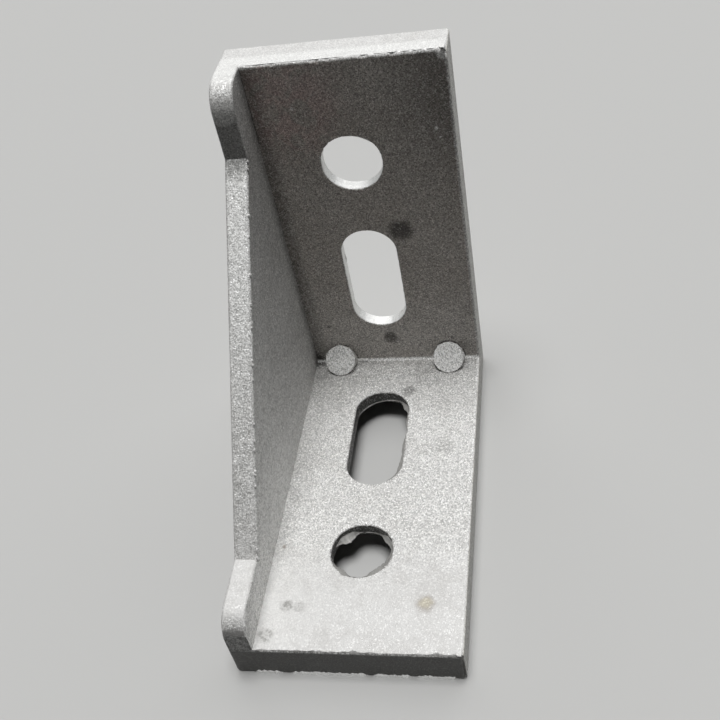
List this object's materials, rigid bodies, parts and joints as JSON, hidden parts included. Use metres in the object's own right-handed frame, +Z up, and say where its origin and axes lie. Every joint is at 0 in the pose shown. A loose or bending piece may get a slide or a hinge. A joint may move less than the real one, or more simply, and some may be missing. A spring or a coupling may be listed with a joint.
{
  "type": "t slot corner bracket",
  "caption": "Die-cast corner bracket for slotted aluminium profile: right-angled legs with round and slotted screw holes, stiffened by a side gusset with raised ears.",
  "frame": {"origin": "middle of the footprint on the seating plane, the underside of the lower leg", "axes": "+X along the lower leg from the heel to its free end, +Y across to the open side, +Z up along the upright leg"},
  "size_m": [0.058, 0.03, 0.058],
  "materials": {
    "cast_aluminium": "as-cast, shot-blasted matte"
  },
  "bodies": {
    "root": {"corner_bracket": "cast_aluminium"}
  },
  "joints": []
}
